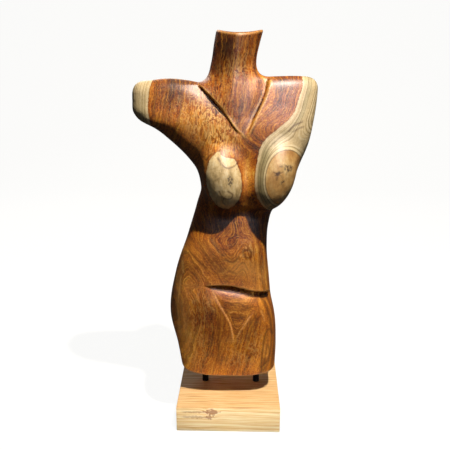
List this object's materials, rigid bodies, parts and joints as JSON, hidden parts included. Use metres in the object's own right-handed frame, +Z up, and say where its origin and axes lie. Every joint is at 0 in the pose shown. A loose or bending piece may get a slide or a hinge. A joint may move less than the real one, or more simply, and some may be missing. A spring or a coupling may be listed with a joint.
{
  "type": "carved wooden torso sculpture",
  "caption": "Headless female torso carved from one hardwood log, held on two steel pins above a square block plinth of pale wood.",
  "frame": {"origin": "centre of the plinth's underside", "axes": "+Z up along the figure, -Y the way the figure faces, +X the viewer's right"},
  "size_m": [0.3622, 0.22, 0.8044],
  "materials": {
    "hardwood": "clear satin varnish over amber-brown heartwood with cream sapwood",
    "pale_wood": "sanded pale softwood, thin matt oil",
    "dark_steel": "dark blued steel"
  },
  "bodies": {
    "root": {"torso": "hardwood", "plinth": "pale_wood", "left_pin": "dark_steel", "right_pin": "dark_steel"}
  },
  "joints": []
}
